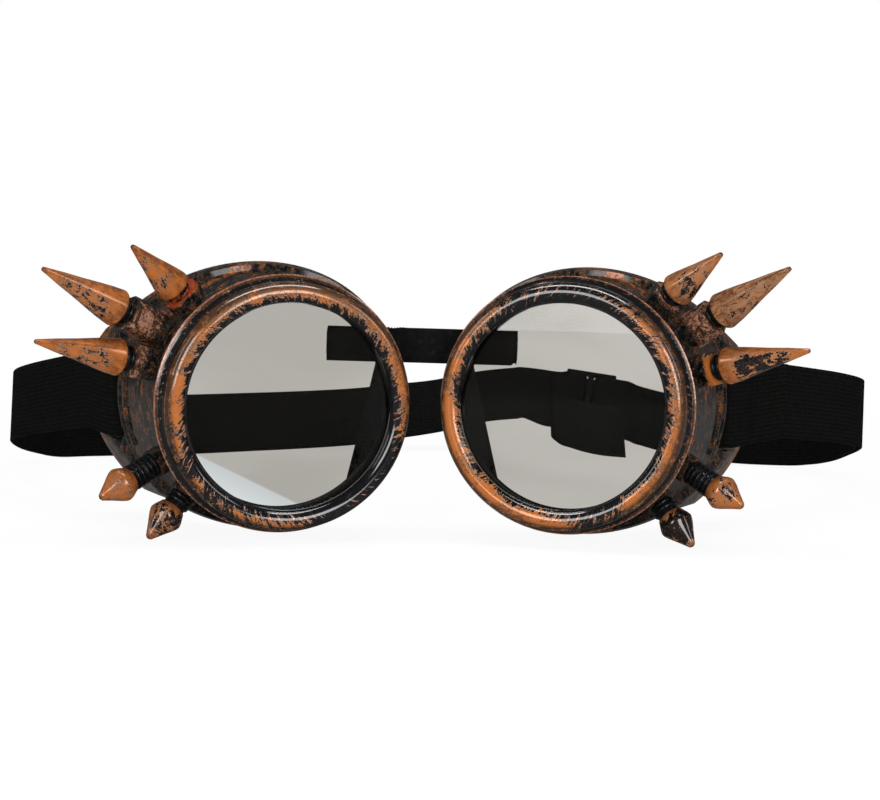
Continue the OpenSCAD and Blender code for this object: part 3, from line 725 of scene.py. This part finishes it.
def head_strap():
    """One strap in four pieces; the two at the slider travel with it."""
    sewn_off, doubled_off = -LAYER - 0.2, 0.75
    left_curve, right_curve = curve_through(LEFT_RUN, 4), curve_through(RIGHT_RUN, 4)
    through, wrap, sewn_end = ([slider_point(*p) for p in row] for row in (THROUGH, WRAP, SEWN_END))
    long_half = (stations(shifted(left_curve, sewn_off)[:4], True) + stations(lug_path(LEFT), True)
                 + stations(left_curve) + sewn_end)
    doubled_half = (through[-3:] + stations(shifted(right_curve, doubled_off)) + stations(lug_path(RIGHT))
                    + stations(shifted(right_curve, -doubled_off), True) + wrap[:3])
    left = ribbon("strap_sewn_half", long_half)
    right = ribbon("strap_doubled_half", doubled_half)
    looped = wrap + [leaning_back(p) for p in TAIL]
    # The run through the slider and the end looped on its middle bar travel with it
    for name, marks in (("strap_in_slider", through), ("strap_looped_end", looped)):
        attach(ribbon(name, marks, STRAP_T + 0.05), "slider")

    def at(x, y):
        return tuple(STAND @ Vector((x, y, 0)))
    for piece in (left, seam(left_curve)):
        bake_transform(piece)
    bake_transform(right)


# Slider


def strap_slider():
    """A flat frame with three bars and two windows."""
    length, height, thick, bar, window = 17, 23.6, 2, 2, 10.25
    bm = bmesh.new()
    xs = [-length / 2, -length / 2 + bar, -bar / 2, bar / 2, length / 2 - bar, length / 2]
    bmesh.ops.create_grid(bm, x_segments=5, y_segments=3, size=0.5)
    ys = [-height / 2, -window, window, height / 2]
    for v in bm.verts:
        v.co.x, v.co.y = xs[round((v.co.x + 0.5) * 5)], ys[round((v.co.y + 0.5) * 3)]
    middles = [(f, f.calc_center_median()) for f in bm.faces]
    holes = [f for f, at in middles if abs(at.y) < window and bar / 2 < abs(at.x) < length / 2 - bar]
    bmesh.ops.delete(bm, geom=holes, context="FACES")
    wall = bmesh.ops.extrude_face_region(bm, geom=bm.faces[:])
    top = [g for g in wall["geom"] if isinstance(g, bmesh.types.BMVert)]
    bmesh.ops.translate(bm, verts=top, vec=(0, 0, thick))
    bmesh.ops.translate(bm, verts=bm.verts, vec=(0, 0, -thick / 2))
    bmesh.ops.recalc_face_normals(bm, faces=bm.faces)
    sharp = [e for e in bm.edges if len(e.link_faces) == 2 and e.calc_face_angle() > radians(60)]
    bmesh.ops.bevel(bm, geom=sharp, offset=0.5, segments=3, profile=0.5, affect="EDGES", material=-1)
    piece = new_piece("slider_frame", bm, slider_black, STAND @ SLIDER @ turn(pi / 2, "X"))
    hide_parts("strap_slider")
    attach(piece, "slider")


# Nose strip


def nose_strip():
    """A plain cut strip: a rough spot along its top edge and a nick at its right end."""
    length, height, thick = 46, 7.5, 1.2
    rough_at, rough_reach, nick_at, nick_reach = -7, 5, 22.4, 0.6
    bm = bmesh.new()
    bmesh.ops.create_grid(bm, x_segments=184, y_segments=10, size=0.5)
    for v in bm.verts:
        x, z = v.co.x * length, v.co.y * height
        near_rough = max(0.0, 1 - abs(x - rough_at) / rough_reach)
        rough = near_rough * (0.16 * sin(9.1 * x) + 0.12 * sin(23.7 * x + 1))
        rise = max(0.0, z / height * 2) ** 4
        nick = max(0.0, 1 - abs(x - nick_at) / nick_reach) * max(0.0, -z / height * 2) ** 3
        v.co = (x - 0.12 * sin(3 * z) * (abs(x) / 23) ** 12, 0, z + rise * rough + 0.7 * nick)
    bmesh.ops.solidify(bm, geom=bm.faces[:], thickness=thick)
    bmesh.ops.translate(bm, verts=bm.verts, vec=(0, -sum(v.co.y for v in bm.verts) / len(bm.verts), 0))
    bmesh.ops.recalc_face_normals(bm, faces=bm.faces)
    rims = [e for e in bm.edges if len(e.link_faces) == 2 and e.calc_face_angle() > radians(60)]
    bmesh.ops.bevel(bm, geom=rims, offset=0.15, segments=2, profile=0.5, affect="EDGES", material=-1)
    place = STAND @ Matrix.Translation((-1.1, 19, 13.2)) @ turn(radians(1.7), "Y")
    piece = new_piece("nose_strip_plate", bm, strip_black, place)
    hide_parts("nose_strip")
    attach(piece, "bridge")


# Nodes whose CAD shape is right keep it, with a finish of their own


def dress(node, material, edge=0.0):
    """Gives a CAD node a finish and, where asked, softened edges."""
    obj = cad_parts[node]
    obj.data.materials.clear()
    obj.data.materials.append(material)
    obj.data.shade_smooth()
    obj.data.set_sharp_from_angle(angle=radians(30))
    if edge:
        weld = obj.modifiers.new("weld", "WELD")
        weld.merge_threshold = 1e-6
        bevel = obj.modifiers.new("edge", "BEVEL")
        bevel.width, bevel.segments, bevel.limit_method, bevel.angle_limit = edge, 2, "ANGLE", radians(35)
        bevel.use_clamp_overlap = True


for s in (LEFT, RIGHT):
    bezel(s)
    for n in range(5):
        spike(s, n)
    dress(SIDE_NAME[s] + "_eyecup", cup_paint(s), SOFT_EDGE)
    dress(SIDE_NAME[s] + "_lens", lens_material(s))
    dress(SIDE_NAME[s] + "_lens_seal", seal_black)
nose_strip()
head_strap()
strap_slider()

# Stage


# How bright the studio shows in a reflection, beside its light on a surface
FILL, FILL_REFLECTED, WHITE_REFLECTED = 0.22, 0.05, 0.06


def seen_white(name, colour, share):
    """A pale surface that the camera and glass see as nearly white, and reflections see dark."""
    f = Finish(name)
    f.shader.inputs["Roughness"].default_value = 0.9
    f.shader.inputs["Specular IOR Level"].default_value = 0.1
    path = f.add("ShaderNodeLightPath")
    f.put(f.shader.inputs["Base Color"], f.mix(path.outputs["Is Glossy Ray"], colour, (0.15, 0.15, 0.15)))
    seen = f.math("MAXIMUM", path.outputs["Is Camera Ray"],
                  f.math("MAXIMUM", f.math("MULTIPLY", path.outputs["Is Glossy Ray"], WHITE_REFLECTED),
                         path.outputs["Is Transmission Ray"]))
    x, y, _ = parts_of(f, f.place)
    away = f.math("SQRT", f.math("ADD", f.math("MULTIPLY", x, x), f.math("MULTIPLY", y, y)))
    share = f.ramp(away, 0.12, 0.42, share, 1.0)  # the shadow stays near the goggles
    glow = f.add("ShaderNodeEmission")
    mix = f.add("ShaderNodeMixShader")
    f.put(mix.inputs[0], f.math("MULTIPLY", seen, share))
    f.put(mix.inputs[1], f.shader.outputs[0])
    f.put(mix.inputs[2], glow.outputs[0])
    f.put(f.tree.nodes["Material Output"].inputs["Surface"], mix.outputs[0])
    return f.material


def floor():
    """A plain pale floor just under the goggles."""
    bm = bmesh.new()
    bmesh.ops.create_grid(bm, x_segments=1, y_segments=1, size=4)
    white = seen_white("floor_white", (0.85, 0.85, 0.85), 0.93)
    piece = new_piece("floor", bm, white, Matrix.Translation((0, 0, -0.0002)))


def studio_world():
    """White to the camera and through glass, a soft fill on surfaces, darker in reflections."""
    world = bpy.data.worlds.new("studio")
    bpy.context.scene.world = world
    world.use_nodes = True
    tree = world.node_tree

    def number(operation, *values):
        node = tree.nodes.new("ShaderNodeMath")
        node.operation = operation
        for socket, value in zip(node.inputs, values):
            if isinstance(value, bpy.types.NodeSocket):
                tree.links.new(value, socket)
            else:
                socket.default_value = value
        return node.outputs[0]

    path = tree.nodes.new("ShaderNodeLightPath").outputs
    plain, white = tree.nodes["Background"], tree.nodes.new("ShaderNodeBackground")
    for background in (plain, white):
        background.inputs["Color"].default_value = (1, 1, 1, 1)
    white.inputs["Strength"].default_value = 1.0
    strength = number("MULTIPLY_ADD", path["Is Glossy Ray"], FILL_REFLECTED - FILL, FILL)
    tree.links.new(strength, plain.inputs["Strength"])
    reflected = number("MULTIPLY", path["Is Glossy Ray"], WHITE_REFLECTED)
    not_camera = number("MAXIMUM", reflected, path["Is Transmission Ray"])
    seen = number("MAXIMUM", path["Is Camera Ray"], not_camera)
    mix = tree.nodes.new("ShaderNodeMixShader")
    tree.links.new(seen, mix.inputs[0])
    tree.links.new(plain.outputs[0], mix.inputs[1])
    tree.links.new(white.outputs[0], mix.inputs[2])
    tree.links.new(mix.outputs[0], tree.nodes["World Output"].inputs["Surface"])


def softbox(name, at, aim, size, power):
    """A soft rectangular light at a point, aimed at another, all in metres."""
    data = bpy.data.lights.new(name, "AREA")
    data.shape, data.size, data.size_y, data.energy = "RECTANGLE", size[0], size[1], power
    obj = bpy.data.objects.new(name, data)
    obj.location = at
    obj.rotation_euler = (Vector(aim) - Vector(at)).to_track_quat("-Z", "Y").to_euler()
    bpy.context.scene.collection.objects.link(obj)


floor()
studio_world()
softbox("front_right", (0.43, -0.96, 0.27), (0, -0.09, 0.05), (0.35, 0.45), 4.3)
softbox("front_left", (-0.43, -0.96, 0.28), (0, -0.09, 0.05), (0.35, 0.45), 4.0)
softbox("left_side", (-1.0, -0.45, 0.5), (0, -0.03, 0.03), (0.2, 0.5), 1.5)
softbox("right_side", (1.0, -0.45, 0.5), (0, -0.03, 0.03), (0.2, 0.5), 1.5)
softbox("top", (0.0, -0.12, 0.95), (0, -0.03, 0.03), (0.9, 0.18), 7.5)

# Camera, placed beside the standing goggles in mm: where it is, its lens and its look downward

EYE, LENS, LOOK_DOWN = (3.2, -360, 49.3), 64.8, 7.5
camera_data = bpy.data.cameras.new("camera")
camera_data.sensor_fit, camera_data.sensor_width, camera_data.lens = "HORIZONTAL", 36, LENS
camera_data.clip_start = 0.01
camera = bpy.data.objects.new("camera", camera_data)
bpy.context.scene.collection.objects.link(camera)
camera.matrix_world = (Matrix.Translation(STAND @ Vector(EYE)) @ (turn(-TILT, "Y") @ turn(TIP_FORWARD, "X"))
                       @ turn(pi / 2 - radians(LOOK_DOWN), "X"))
bpy.context.scene.camera = camera
bpy.context.scene.view_settings.view_transform = "Standard"
